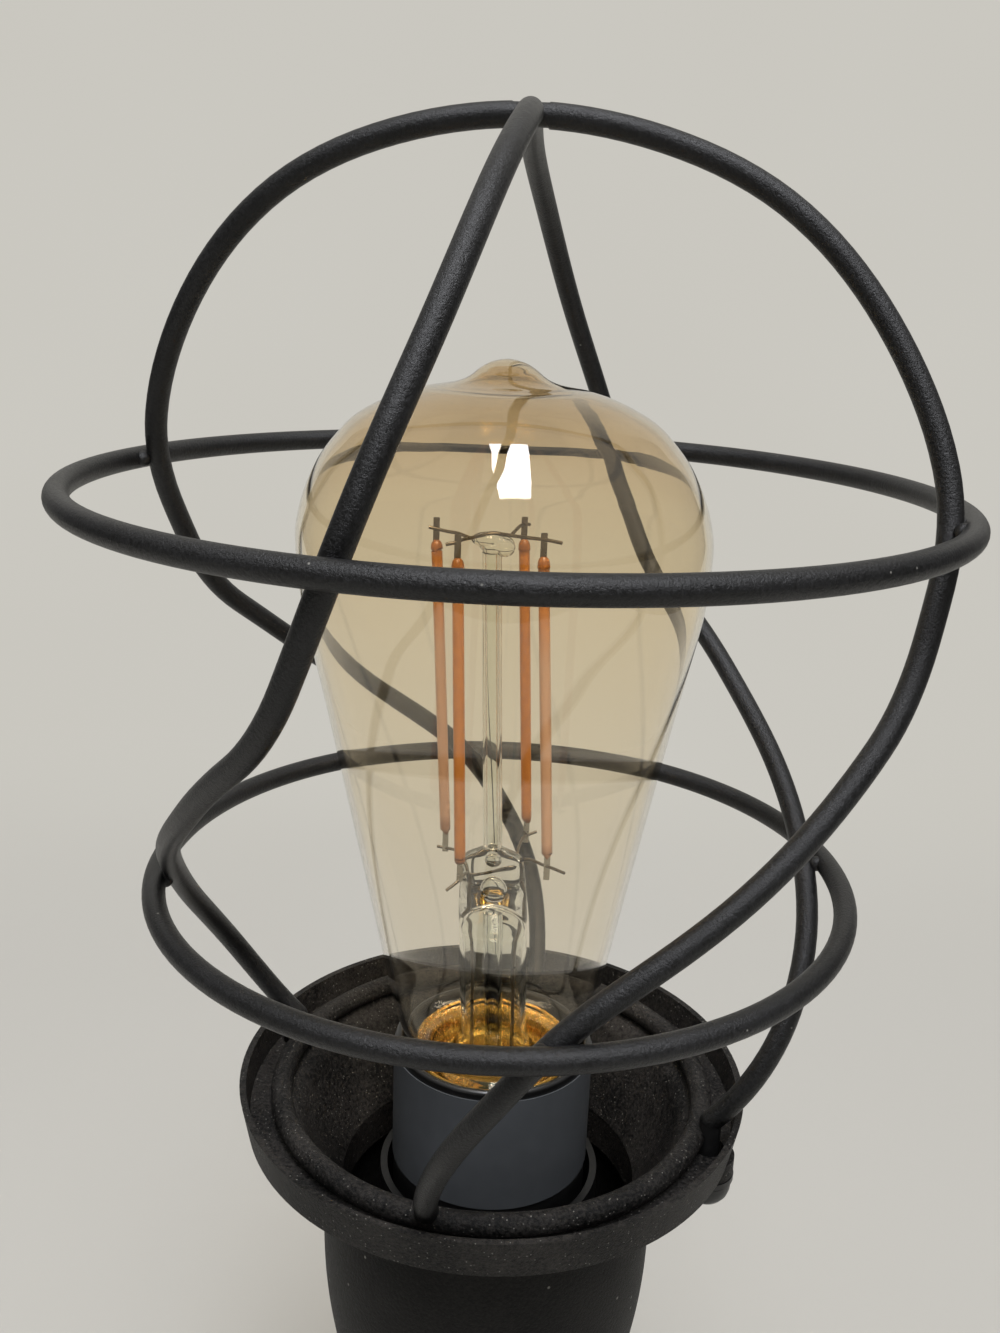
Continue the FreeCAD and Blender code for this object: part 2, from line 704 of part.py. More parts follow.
# Lamp glass
def make_glass():
    wide_r, wide_z = glass_d / 2, upper_ring_z - glass_drop
    points = [(0, wide_z + glass_l * glass_tip_share)]
    points += [(wide_r * share, wide_z + glass_l * up) for share, up in glass_crown_shares]
    points.append((wide_r, wide_z))
    points += [(neck_r + (wide_r - neck_r) * share, wide_z - glass_l * down)
               for share, down in glass_flank_shares]
    outer = smooth(points)
    inside = [(0, points[0][1] - glass_wall)]
    for r, z in points[1:]:
        t = outer.tangentAt(outer.Curve.parameter(Vector(r, 0, z)))
        inside.append((r + t.z * glass_wall, z - t.x * glass_wall))
    neck_z, end_z = cap_top_z + seat_gap, cap_top_z - glass_neck_l
    rest = outline(inside[-1], (neck_r - glass_wall, neck_z - glass_wall), (neck_r - glass_wall, end_z),
                   (neck_r, end_z), (neck_r, neck_z), points[-1])
    edges = [outer, smooth(inside)] + outline(inside[0], points[0]) + rest
    return Part.Face(Part.Wire(Part.sortEdges(edges)[0])).revolve(Vector(0, 0, 0), Vector(0, 0, 1), 360)


# Lamp inside
def make_glass_stem():
    top, low = stem_tube_z, cap_top_z - flare_drop
    r, flare_z = stem_tube_d / 2, cap_top_z + flare_rise
    low_r = neck_r - glass_wall - seat_gap
    out_share, down_share = flare_shares
    mid = (r + (low_r - r) * out_share, flare_z + (low - flare_z) * down_share)
    start, steps = (r, top), [(r, flare_z), ("via", mid, (low_r, low))]
    back = inset_back(outline(start, *steps), -stem_tube_wall)
    return turned(start, *steps, (back[0][0], low), *back[1:-1], (back[-1][0], top))


def make_press():
    low, top = stem_tube_z, press_top_z
    r = stem_tube_d / 2
    cone = turned((0, low), (r, low), (press_top_d / 2, top), (0, top))
    return cone.common(Part.makeBox(stem_tube_d, press_t, top - low, Vector(-r, -press_t / 2, low)))


def filament_spots():
    return [filament_turn_deg + 360 * i / filament_count for i in range(filament_count)]


def make_filaments():
    r, top = filament_circle_d / 2, upper_ring_z - filament_top_drop
    return [Part.makeCylinder(filament_d / 2, filament_l, polar(r, top - filament_l, deg))
            for deg in filament_spots()]


def make_tabs():
    top = upper_ring_z - filament_top_drop
    tabs = []
    for deg in filament_spots():
        for low in (top, top - filament_l - tab_l):
            at = polar(filament_circle_d / 2, low, deg)
            tabs.append(Part.makeBox(tab_w, tab_t, tab_l, at - Vector(tab_w / 2, tab_t / 2, 0)))
    return tabs


def leaned(*solids):
    # The mount stands out of plumb in its neck: each level moves sideways by its height's share
    lean = FreeCAD.Matrix()
    lean.A13 = -mount_lean
    lean.A14 = mount_lean * cap_top_z
    return [solid.transformGeometry(lean) for solid in solids]


def make_supports(hub, hub_r, tab_end, clear_of):
    # Wires from a hub on the axis out to the free ends of the tabs
    wires = []
    for deg in filament_spots():
        end = polar(filament_circle_d / 2, tab_end, deg)
        way = (end - hub).normalize()
        wires.append(bar(hub + way * hub_r, end + way * support_d, support_d).cut(clear_of))
    return wires


os.makedirs("parts", exist_ok=True)

hoop, sides, rings, studs, ends = make_cage()
stud_places = [place for place, way in ends]
gallery = make_gallery(stud_places)
save("hoop", hoop)
save("side_rods", *sides)
save("studs", *studs)
save("upper_ring", rings[0])
save("lower_ring", rings[1])
save("bottom_ring", rings[2])
save("ring_welds", *make_welds(hoop, rings))
for side, place in zip(("left", "right"), stud_places):
    save("nut_" + side, make_nut(place))
    save("nut_washer_" + side, make_nut_washer(place))

washer_z = body_low_z + body_floor_t
nut_z = washer_z + washer_t
spacer_z = nut_z + hex_nut_h
recess_z = pad_top_z + weight_lift + weight_recess_h
save("gallery", gallery)
save("body", make_body())
save("body_washer", tube(washer_d / 2, hole_r, washer_z, nut_z))
save("body_nut", hexagon(nut_across, nut_z, spacer_z, hole_r))
save("spacer", tube(spacer_d / 2, hole_r, spacer_z, cup_low_z))
save("threaded_rod", make_rod())
save("upper_collar", make_collar(upper_collar_d / 2, stem_top_z, upper_collar_h, hole_r))
save("stem", make_stem())
save("lower_collar", make_collar(lower_collar_d / 2, foot_top_z, lower_collar_h, hole_r))
save("foot", make_foot())
save("weight", make_weight())
save("foot_washer", tube(washer_d / 2, hole_r, recess_z - washer_t, recess_z))
save("foot_nut", hexagon(nut_across, recess_z - washer_t - hex_nut_h, recess_z - washer_t, hole_r))
save("pad", tube(foot_r - pad_inset, 0, 0, pad_t))
save("cord_inlet", make_inlet())

label_z = socket_top_z - label_drop
save("cup", make_cup())
save("socket_shell", make_socket_shell())
save("label_sleeve", tube(socket_r + slip_fit + label_t, socket_r + slip_fit, label_z - label_h, label_z))
save("socket_insulator", make_insulator())
save("screw_shell", tube(shell_r + shell_wall, shell_r, insulator_top_z,
                         cap_top_z - cap_collar_h - seat_gap))
save("centre_contact", make_centre_contact())
save("contact_rivet", make_rivet())

tabs = make_tabs()
press = make_press()
exhaust_z = upper_ring_z - exhaust_top_drop
bead_at = Vector(0, 0, exhaust_z)
lead_low_z = cap_top_z - board_drop
filament_top_z = upper_ring_z - filament_top_drop
exhaust = tube(exhaust_d / 2, 0, press_top_z, exhaust_z)
save("glass", make_glass())
save("cap", make_cap())
save("cap_insulator", make_cap_insulator())
save("tip_contact", make_tip_contact())
save("driver_board", make_board())
save("glass_stem", *leaned(make_glass_stem()))
save("press", *leaned(press))
save("exhaust_tube", *leaned(exhaust))
save("bead", *leaned(Part.makeSphere(bead_d / 2, bead_at).cut(exhaust)))
save("filaments", *leaned(*make_filaments()))
save("filament_tabs", *leaned(*tabs))
save("top_supports", *leaned(*make_supports(bead_at, bead_d / 2, filament_top_z + tab_l, tabs)))
save("bottom_supports", *leaned(*make_supports(
    Vector(0, 0, press_top_z), press_top_d / 2 + seat_gap, filament_top_z - filament_l - tab_l, tabs + [press])))
save("lead_wires", *leaned(*[Part.makeCylinder(lead_d / 2, stem_tube_z - lead_low_z, Vector(x, 0, lead_low_z))
                             for x in (-lead_spread / 2, lead_spread / 2)]))
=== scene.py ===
import bpy, bmesh, math
from mathutils import Matrix, Vector


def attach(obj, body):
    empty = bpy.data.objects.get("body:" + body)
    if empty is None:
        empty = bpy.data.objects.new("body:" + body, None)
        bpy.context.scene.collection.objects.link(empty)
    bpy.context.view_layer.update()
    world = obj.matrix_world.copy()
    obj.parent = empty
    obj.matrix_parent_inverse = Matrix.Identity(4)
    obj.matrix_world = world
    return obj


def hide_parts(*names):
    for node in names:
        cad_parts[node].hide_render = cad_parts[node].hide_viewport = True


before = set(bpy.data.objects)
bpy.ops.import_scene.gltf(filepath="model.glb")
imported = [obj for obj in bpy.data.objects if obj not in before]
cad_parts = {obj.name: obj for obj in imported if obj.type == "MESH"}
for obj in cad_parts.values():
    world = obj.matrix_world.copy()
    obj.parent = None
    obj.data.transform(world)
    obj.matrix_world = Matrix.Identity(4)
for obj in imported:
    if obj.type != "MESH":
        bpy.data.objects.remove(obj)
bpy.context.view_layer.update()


# Camera, where the photograph was taken: 192 mm in front of the lamp's axis and 325 mm up,
# looking down, with a slight roll and yaw, and about a 46 mm lens on a 36 mm frame.
image_w, frame_w, focal_px = 1000, 36, 1267.13
camera_place = Vector((0, -0.1918, 0.3252))
camera_pitch, camera_roll, camera_yaw = 0.2899, 0.0387, -0.007
ahead = Vector((math.sin(camera_yaw) * math.cos(camera_pitch),
                math.cos(camera_yaw) * math.cos(camera_pitch), -math.sin(camera_pitch)))
level = Vector((math.cos(camera_yaw), -math.sin(camera_yaw), 0))
upward = level.cross(ahead)
rolled = level * math.cos(camera_roll) + upward * math.sin(camera_roll)
upright = upward * math.cos(camera_roll) - level * math.sin(camera_roll)
camera = bpy.data.objects.new("camera", bpy.data.cameras.new("camera"))
camera.data.sensor_fit = "HORIZONTAL"
camera.data.sensor_width = frame_w
camera.data.lens = frame_w * focal_px / image_w
camera.data.clip_start = 0.01
turn = Matrix((rolled, upright, -ahead)).transposed().to_4x4()
camera.matrix_world = Matrix.Translation(camera_place) @ turn
bpy.context.collection.objects.link(camera)
bpy.context.scene.camera = camera


# Studio: a table covered with seamless paper that sweeps up behind the lamp, a tall window
# panel over the camera, and a plain room, dim at eye level and light towards its ceiling.
def linear(code):
    parts = [int(code[i:i + 2], 16) / 255 for i in (1, 3, 5)]
    return [c / 12.92 if c <= 0.04045 else ((c + 0.055) / 1.055) ** 2.4 for c in parts] + [1]


def add(tree, kind, settings=None, **links):
    # Adds a node. Settings are its own values. Links are values or other nodes' outputs, for
    # the input of that name, or of that number after an i
    node = tree.nodes.new(kind)
    for key, value in (settings or {}).items():
        setattr(node, key, value)
    for key, value in links.items():
        numbered = key[1:].isdigit()
        socket = node.inputs[int(key[1:])] if numbered else node.inputs[key.replace("_", " ")]
        if isinstance(value, bpy.types.NodeSocket):
            tree.links.new(value, socket)
        else:
            socket.default_value = value
    return node


def new_material(name):
    material = bpy.data.materials.new(name)
    material.use_nodes = True
    tree = material.node_tree
    tree.nodes.clear()
    return material, tree


# Seamless paper: uncoated and matt, with the faint clouding of its pulp. Where it climbs it
# shows in one even tone, and on the table it keeps the lamp's shadow.
climb_from, climb_to = 0.30, 0.65
sheet_paper, tree = new_material("seamless_paper")
place = add(tree, "ShaderNodeTexCoord").outputs["Object"]
clouds = add(tree, "ShaderNodeTexNoise", Vector=place, Scale=2.2, Detail=2.0).outputs["Fac"]
shade = add(tree, "ShaderNodeMixRGB", i0=clouds, i1=linear("#C3C0B8"), i2=linear("#CBC9C2"))
paper = add(tree, "ShaderNodeBsdfDiffuse", Color=shade.outputs[0], Roughness=0.6)
even = add(tree, "ShaderNodeMixRGB", i0=clouds, i1=linear("#C7C4BC"), i2=linear("#CDCBC4"))
glow = add(tree, "ShaderNodeEmission", Color=even.outputs[0], Strength=1.0)
ray = add(tree, "ShaderNodeLightPath").outputs
seen = add(tree, "ShaderNodeMath", {"operation": "MAXIMUM"}, i0=ray["Is Camera Ray"],
           i1=ray["Is Glossy Ray"])
seen = add(tree, "ShaderNodeMath", {"operation": "MAXIMUM"}, i0=seen.outputs[0],
           i1=ray["Is Transmission Ray"])
spot = add(tree, "ShaderNodeSeparateXYZ", Vector=place)
climb = add(tree, "ShaderNodeMapRange", {"interpolation_type": "SMOOTHSTEP"},
            i0=spot.outputs["Y"], i1=climb_from, i2=climb_to)
share = add(tree, "ShaderNodeMath", {"operation": "MULTIPLY"}, i0=seen.outputs[0],
            i1=climb.outputs[0])
paper = add(tree, "ShaderNodeMixShader", i0=share.outputs[0], i1=paper.outputs[0],
            i2=glow.outputs[0])
add(tree, "ShaderNodeOutputMaterial", Surface=paper.outputs[0])

table_half, table_front, bend_start, bend, paper_top = 0.85, -0.69, 0.55, 0.5, 2.2
bend_steps = 24
sweep = [(table_front, 0.0)]
sweep += [(bend_start + bend * math.sin(a), bend * (1 - math.cos(a)))
          for a in (math.pi / 2 * i / bend_steps for i in range(bend_steps + 1))]
sweep.append((bend_start + bend, paper_top))
sheet = bmesh.new()
rows = [[sheet.verts.new((x, y, z)) for x in (-table_half, table_half)] for y, z in sweep]
for low, high in zip(rows, rows[1:]):
    sheet.faces.new((low[0], low[1], high[1], high[0])).smooth = True
mesh = bpy.data.meshes.new("backdrop")
sheet.to_mesh(mesh)
sheet.free()
mesh.materials.append(sheet_paper)
backdrop = bpy.data.objects.new("backdrop", mesh)
bpy.context.collection.objects.link(backdrop)

window_place, lit_spot = Vector((0.08, -0.60, 1.66)), Vector((0, 0, 0.29))
window_w, window_h, window_watts = 0.42, 1.05, 23.0
window = bpy.data.objects.new("window_panel", bpy.data.lights.new("window_panel", "AREA"))
window.data.shape = "RECTANGLE"
window.data.size, window.data.size_y = window_w, window_h
window.data.energy = window_watts
window.data.color = linear("#F6F8FF")[:3]
window.location = window_place
window.rotation_euler = (lit_spot - window_place).to_track_quat("-Z", "Y").to_euler()
bpy.context.collection.objects.link(window)

# The room's light grows from the horizon to the ceiling. Its wall shows pale and nearly even
room = bpy.data.worlds.new("room")
room.use_nodes = True
tree = room.node_tree
around = add(tree, "ShaderNodeTexCoord").outputs["Generated"]
way = add(tree, "ShaderNodeSeparateXYZ", Vector=around)
light = add(tree, "ShaderNodeMapRange", i0=way.outputs["Z"], i1=0.08, i2=0.90, i3=0.07, i4=0.78)
wall = add(tree, "ShaderNodeMapRange", i0=way.outputs["Z"], i1=-0.4, i2=0.5, i3=0.50, i4=0.62)
ray = add(tree, "ShaderNodeLightPath").outputs
seen = add(tree, "ShaderNodeMath", {"operation": "MAXIMUM"}, i0=ray["Is Camera Ray"],
           i1=ray["Is Transmission Ray"])
strength = add(tree, "ShaderNodeMix", i0=seen.outputs[0], i2=light.outputs[0],
               i3=wall.outputs[0])
tree.nodes["Background"].inputs["Color"].default_value = linear("#F4F2EE")
tree.links.new(strength.outputs[0], tree.nodes["Background"].inputs["Strength"])
bpy.context.scene.world = room
bpy.context.scene.view_settings.view_transform = "Standard"


# Base: a spun steel foot over an iron weight and a felt pad, then collars, stem and body,
# clamped on one threaded rod and sprayed black, with a dished gallery on top.
def coat(material, *nodes):
    # Gives a carried-over solid its finish
    for node in nodes:
        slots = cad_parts[node].data.materials
        if not len(slots):
            slots.append(material)
        for i in range(len(slots)):
            slots[i] = material


def powder_coat(name, dark, light, grit_mm, bump_mm, rough, specular, speck_gap_mm, speck_share):
    # Powder coat: fused grains give a sandy, matt skin, a little cloudy over a patch of it.
    # Small bright specks are painted glints, a pale grey in the base colour where grains that
    # stand proud would catch the light. The grit is drawn about twice as coarse as it is, so that
    # it shows.
    patch_mm = 14
    material, tree = new_material(name)
    place = add(tree, "ShaderNodeTexCoord").outputs["Object"]
    grit = add(tree, "ShaderNodeTexNoise", Vector=place, Scale=1000 / grit_mm, Detail=4.0,
               Roughness=0.7).outputs["Fac"]
    patch = add(tree, "ShaderNodeTexNoise", Vector=place, Scale=1000 / patch_mm, Detail=3.0)
    mix = add(tree, "ShaderNodeMath", {"operation": "MULTIPLY_ADD"}, i0=patch.outputs["Fac"],
              i1=0.5, i2=grit)
    ramp = add(tree, "ShaderNodeMapRange", i0=mix.outputs[0], i1=0.62, i2=0.95)
    skin = add(tree, "ShaderNodeMixRGB", i0=ramp.outputs[0], i1=linear(dark), i2=linear(light))
    # Painted glints: a small share of cells get a pale grey spot in the base colour
    cells = add(tree, "ShaderNodeTexVoronoi", Vector=place, Scale=1000 / speck_gap_mm)
    draw = add(tree, "ShaderNodeSeparateColor", Color=cells.outputs["Color"])
    rare = add(tree, "ShaderNodeMath", {"operation": "GREATER_THAN"}, i0=draw.outputs["Red"],
               i1=1 - speck_share)
    near = add(tree, "ShaderNodeMapRange", i0=cells.outputs["Distance"], i1=0.22, i2=0.06)
    painted_glint = add(tree, "ShaderNodeMath", {"operation": "MULTIPLY"}, i0=rare.outputs[0],
                i1=near.outputs[0])
    colour = add(tree, "ShaderNodeMixRGB", i0=painted_glint.outputs[0], i1=skin.outputs[0],
                 i2=linear("#8F8D86"))
    gloss = add(tree, "ShaderNodeMapRange", i0=grit, i1=0.3, i2=0.7, i3=rough - 0.08,
                i4=rough + 0.10)
    bump = add(tree, "ShaderNodeBump", Height=grit, Distance=bump_mm / 1000, Strength=1.0)
    paint = add(tree, "ShaderNodeBsdfPrincipled", Base_Color=colour.outputs[0],
                Roughness=gloss.outputs[0], Specular_IOR_Level=specular, Normal=bump.outputs[0])
    add(tree, "ShaderNodeOutputMaterial", Surface=paint.outputs[0])
    return material


# Painted shade: the pieces under the gallery take a darker, shaded copy of the gallery's coat
shaded_powder_coat = powder_coat("shaded_sandy_powder_coat", "#040404", "#232220", grit_mm=0.6, bump_mm=0.20,
                        rough=0.56, specular=0.2, speck_gap_mm=1.5, speck_share=0.03)
coat(shaded_powder_coat, "foot", "lower_collar", "stem", "upper_collar", "body")
# The gallery, bent and spun from sheet, has the same coat painted lighter, a lit copy for its
# upward faces, with coarser grit and denser painted glints
lit_powder_coat = powder_coat("lit_sandy_powder_coat", "#050505", "#3C3936", grit_mm=0.6,
                          bump_mm=0.34, rough=0.55, specular=0.24, speck_gap_mm=0.62,
                          speck_share=0.36)
coat(lit_powder_coat, "gallery")


def plain(name, dark, light, fleck_mm, rough, metal=0.0, rough_play=0.06, bump_mm=0.0, **more):
    # A skin that is even but for faint clouding of its colour and gloss at one real scale
    material, tree = new_material(name)
    place = add(tree, "ShaderNodeTexCoord").outputs["Object"]
    flecks = add(tree, "ShaderNodeTexNoise", Vector=place, Scale=1000 / fleck_mm,
                 Detail=3.0).outputs["Fac"]
    mix = add(tree, "ShaderNodeMixRGB", i0=flecks, i1=linear(dark), i2=linear(light))
    gloss = add(tree, "ShaderNodeMapRange", i0=flecks, i1=0.3, i2=0.7, i3=rough - rough_play,
                i4=rough + rough_play)
    surface = add(tree, "ShaderNodeBsdfPrincipled", Base_Color=mix.outputs[0],
                  Roughness=gloss.outputs[0], Metallic=metal, **more)
    if bump_mm:
        bump = add(tree, "ShaderNodeBump", Height=flecks, Distance=bump_mm / 1000)
        tree.links.new(bump.outputs[0], surface.inputs["Normal"])
    add(tree, "ShaderNodeOutputMaterial", Surface=surface.outputs[0])
    return material


# Pressed wool felt: dull, with matted tufts of a millimetre or two. Sand-cast iron: dark and
# pitted. Bright zinc plate: clear, slightly clouded. Nylon: a moulded satin black.
coat(plain("wool_felt", "#141414", "#262525", fleck_mm=1.4, rough=0.95, rough_play=0.03,
           bump_mm=0.4, Sheen_Weight=0.4), "pad")
coat(plain("sand_cast_iron", "#2E2E2F", "#454547", fleck_mm=1.8, rough=0.62, metal=0.85,
           rough_play=0.1, bump_mm=0.2), "weight")
coat(plain("bright_zinc_plate", "#A9ACAE", "#C6C9CC", fleck_mm=3.0, rough=0.32, metal=1.0),
     "foot_nut", "foot_washer", "threaded_rod", "body_washer", "body_nut", "spacer")
coat(plain("moulded_nylon", "#101010", "#1B1B1B", fleck_mm=1.2, rough=0.42, rough_play=0.05,
           bump_mm=0.03), "cord_inlet")


# Cage: 3.6 mm steel wire bent round formers, spot welded where the rods cross the rings, and
# powder coated in one piece. Round nuts on its two threaded feet hold it to the gallery.
wire_coat = powder_coat("fine_black_powder_coat", "#040404", "#212122", grit_mm=0.45,
                        bump_mm=0.17, rough=0.38, specular=0.46, speck_gap_mm=1.0,
                        speck_share=0.004)
coat(wire_coat, "hoop", "side_rods", "upper_ring", "lower_ring", "ring_welds")
# The bottom ring lies in the gallery and takes its painted-lit coat, with the same painted glints
coat(lit_powder_coat, "bottom_ring")
# Blackened steel: a thin oily black over turned threads and washers, a little glossier
blackened = plain("blackened_steel", "#141414", "#232323", fleck_mm=0.8, rough=0.38,
                  rough_play=0.08, bump_mm=0.03)
coat(blackened, "studs", "nut_washer_right", "nut_washer_left")


# Round nuts: turned steel buttons, domed below and blackened, each with a threaded hole that
# stops inside its dome. They screw up on the cage's studs, under the ledge.
mm = 0.001


def finish_piece(name, work, material, sharp_deg=40):
    # Turns faces outwards, smooths them except at sharp rims, and makes the object
    if work.calc_volume(signed=True) < 0:
        bmesh.ops.reverse_faces(work, faces=work.faces[:])
    for face in work.faces:
        face.smooth = True
    mesh = bpy.data.meshes.new(name)
    work.to_mesh(mesh)
    work.free()
    mesh.set_sharp_from_angle(angle=math.radians(sharp_deg))
    mesh.materials.append(material)
    piece = bpy.data.objects.new(name, mesh)
    bpy.context.collection.objects.link(piece)
    return piece


def ring_faces(work, rings):
    # Skins a closed row of rings, each a list of points or one point on the axis
    for low, high in zip(rings, rings[1:] + rings[:1]):
        count = max(len(low), len(high))
        for k in range(count if len(low) + len(high) > 2 else 0):
            corners = [low[k % len(low)], low[(k + 1) % len(low)],
                       high[(k + 1) % len(high)], high[k % len(high)]]
            work.faces.new(list(dict.fromkeys(corners)))


def turned(name, loop, sides, material, wave=None):
    # A wall turned round the lamp's axis from a closed line of (radius, height) in mm. A wave
    # gives a rolled thread's depth at a height and an angle
    work = bmesh.new()
    rings = []
    for r, z in loop:
        if r < 1e-6:
            rings.append([work.verts.new((0, 0, z * mm))])
            continue
        ring = []
        for k in range(sides):
            angle = 2 * math.pi * k / sides
            out = r + (wave(z, angle) if wave else 0)
            ring.append(work.verts.new((out * mm * math.cos(angle), out * mm * math.sin(angle),
                                        z * mm)))
        rings.append(ring)
    ring_faces(work, rings)
    return finish_piece(name, work, material)


nut_r, nut_top, nut_low, nut_bore_r, nut_bore_top = 4.2, 185.35, 181.0, 2.0, 183.1
dome = [(0, nut_low), (1.2, nut_low + 0.05), (2.3, nut_low + 0.3), (3.2, nut_low + 0.85),
        (3.85, nut_low + 1.7), (4.15, nut_low + 2.7), (nut_r, nut_low + 3.4),
        (nut_r, nut_top - 0.25), (nut_r - 0.25, nut_top)]
hollow = [(nut_bore_r + 0.3, nut_top), (nut_bore_r, nut_top - 0.3),
          (nut_bore_r, nut_bore_top - 0.4), (0, nut_bore_top - 0.9)]
for side, x, y in (("right", 36.18, -13.17), ("left", -36.18, 13.17)):
    nut = turned("round_nut_" + side, dome + hollow, 48, blackened)
    for vert in nut.data.vertices:
        vert.co += Vector((x, y, 0)) * mm
    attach(nut, "nut_" + side)
    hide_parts("nut_" + side)


# Lamp socket: a black enamelled tube in a cup, with a bare grey sleeve round it, a porcelain
# block inside, and a pressed brass shell with a rolled thread that takes the lamp's cap.
thread_pitch, thread_fade = 3.63, 1.6


def rolled_thread(depth, low, high, fade):
    # A right-handed knuckle thread between two heights, running in and out over the fade
    def wave(z, angle):
        share = max(0.0, min(1.0, (z - low) / fade, (high - z) / fade))
        return depth * share * math.cos(2 * math.pi * z / thread_pitch - angle)
    return wave


def steps_between(low, high, count):
    return [low + (high - low) * i / count for i in range(count + 1)]


# Enamel, baked on the tube and sprayed on the cup: even deep black, the tube's the glossier.
# Coated card: a flat dark grey. Porcelain: white under clear glaze. Rolled brass: warm yellow.
coat(plain("baked_black_enamel", "#0A0A0A", "#151515", fleck_mm=4.0, rough=0.34, rough_play=0.04,
           Specular_IOR_Level=0.8), "socket_shell")
coat(plain("satin_black_enamel", "#0B0B0B", "#171717", fleck_mm=1.6, rough=0.40, rough_play=0.06,
           bump_mm=0.03), "cup")
coat(plain("coated_grey_card", "#4E5154", "#585B5E", fleck_mm=2.5, rough=0.50, rough_play=0.05),
     "label_sleeve")
coat(plain("glazed_porcelain", "#DCD8CC", "#EAE7DD", fleck_mm=5.0, rough=0.16, rough_play=0.03,
           Coat_Weight=0.5), "socket_insulator")
brass = plain("rolled_brass", "#B98C45", "#D2A860", fleck_mm=2.5, rough=0.28, metal=1.0)
coat(brass, "centre_contact", "contact_rivet")

shell_low, shell_high, shell_mid_r, shell_wall, shell_depth = 172.9, 198.7, 12.95, 0.36, 0.33
heights = steps_between(shell_low, shell_high, 100)
loop = [(shell_mid_r + shell_wall, z) for z in heights]
loop += [(shell_mid_r, z) for z in reversed(heights)]
screw_shell = turned("threaded_shell", loop, 96, brass,
                     rolled_thread(shell_depth, shell_low + 2, shell_high - 1, thread_fade))
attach(screw_shell, "base")
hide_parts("screw_shell")


# Lamp cap: bright brass sheet, drawn to a cup, rolled with the same thread and flared at the
# rim, where it is cemented round the glass. Black glass closes its end round a solder blob.
draw_line_mm, dent_mm, cast_mm = 0.9, 2.6, 4.0
cap_brass, tree = new_material("drawn_bright_brass")
# Drawn brass: faint lengthwise draw lines and dents, warm yellow, glossy where the die
# burnished it
place = add(tree, "ShaderNodeTexCoord").outputs["Object"]
stretch = add(tree, "ShaderNodeMapping", Vector=place, Scale=(1.0, 1.0, 0.18)).outputs[0]
lines = add(tree, "ShaderNodeTexNoise", Vector=stretch, Scale=1000 / draw_line_mm, Detail=3.0,
            Roughness=0.6).outputs["Fac"]
cast = add(tree, "ShaderNodeTexNoise", Vector=place, Scale=1000 / cast_mm, Detail=2.0)
tone = add(tree, "ShaderNodeMixRGB", i0=cast.outputs["Fac"], i1=linear("#BC8629"),
           i2=linear("#EEC464"))
gloss = add(tree, "ShaderNodeMapRange", i0=lines, i1=0.3, i2=0.7, i3=0.12, i4=0.32)
dents = add(tree, "ShaderNodeTexNoise", Vector=stretch, Scale=1000 / dent_mm, Detail=2.0,
            Distortion=0.8)
dented = add(tree, "ShaderNodeBump", Height=dents.outputs["Fac"], Distance=0.5 * mm,
             Strength=0.8)
draw_lines = add(tree, "ShaderNodeBump", Height=lines, Distance=0.05 * mm, Strength=0.7,
                 Normal=dented.outputs[0])
metal = add(tree, "ShaderNodeBsdfPrincipled", Base_Color=tone.outputs[0],
            Roughness=gloss.outputs[0], Metallic=0.9, Normal=draw_lines.outputs[0])
add(tree, "ShaderNodeOutputMaterial", Surface=metal.outputs[0])

cap_top, cap_low, cap_mid_r, cap_wall, cap_depth = 200.2, 180.7, 12.55, 0.35, 0.43
rim_outside = [(12.9, 198.6), (13.7, 199.1), (14.2, 199.6), (14.2, 200.0), (14.0, 200.2)]
rim_inside = [(13.6, 200.1), (13.2, 199.7), (12.5, 199.0), (12.15, 198.4)]
heights = steps_between(cap_low, cap_top - 2.2, 80)
outside = [(cap_mid_r, z) for z in heights] + rim_outside
inside = rim_inside + [(cap_mid_r - cap_wall, z) for z in reversed(heights)]
cap = turned("screw_cap", outside + inside, 96, cap_brass,
             rolled_thread(cap_depth, cap_low + 0.4, cap_top - 1.6, thread_fade))
# A thin brass plate closes the cap under the glass, with a hole for the lead wires
plate_loop = [(11.95, 195.35), (11.2, 195.15), (8.0, 194.95), (4.2, 194.85), (4.0, 194.75),
              (4.2, 194.65), (8.0, 194.7), (11.95, 195.05)]
plate = turned("cap_plate", plate_loop, 96, cap_brass)
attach(plate, "lamp")
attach(cap, "lamp")
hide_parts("cap")
# Vitrite: glossy black glass. Solder: a dull silver blob with a cast skin. Board: green glass
# fibre, whose weave shows as fine flecks.
coat(plain("black_vitrite", "#060606", "#0E0E0E", fleck_mm=2.0, rough=0.10, rough_play=0.03),
     "cap_insulator")
coat(plain("soft_solder", "#9C9C98", "#BDBDB8", fleck_mm=1.0, rough=0.36, metal=1.0,
           rough_play=0.1, bump_mm=0.05), "tip_contact")
coat(plain("glass_fibre_board", "#1A2B21", "#24382B", fleck_mm=0.8, rough=0.45, rough_play=0.05,
           bump_mm=0.02), "driver_board")


# Lamp glass: a pear-shaped bulb, blown in a mould with a 0.9 mm wall, sealed off with a small
# tip on top and coated amber inside. Its neck goes down into the cap.
wide_r, wide_z, glass_h, glass_wall = 31.75, 288.0, 92.5, 0.9
tip_z, neck_r, neck_low, glass_lean = 315.3, 11.2, 195.5, 0.016
# Shares of the widest radius, and of the height down from the widest place
crown = [(0.0756, -0.2903), (0.132, -0.2797), (0.167, -0.2700), (0.205, -0.2622),
         (0.258, -0.2562), (0.331, -0.2515), (0.42, -0.2455), (0.56, -0.229), (0.709, -0.201),
         (0.806, -0.1676), (0.882, -0.133), (0.948, -0.0865), (0.986, -0.0432), (1, 0)]
flank = [(0.983, 0.0865), (0.935, 0.173), (0.869, 0.281), (0.794, 0.411), (0.707, 0.562),
         (0.608, 0.735), (0.546, 0.843), (0.508, 0.893), (0.462, 0.922), (0.410, 0.940)]


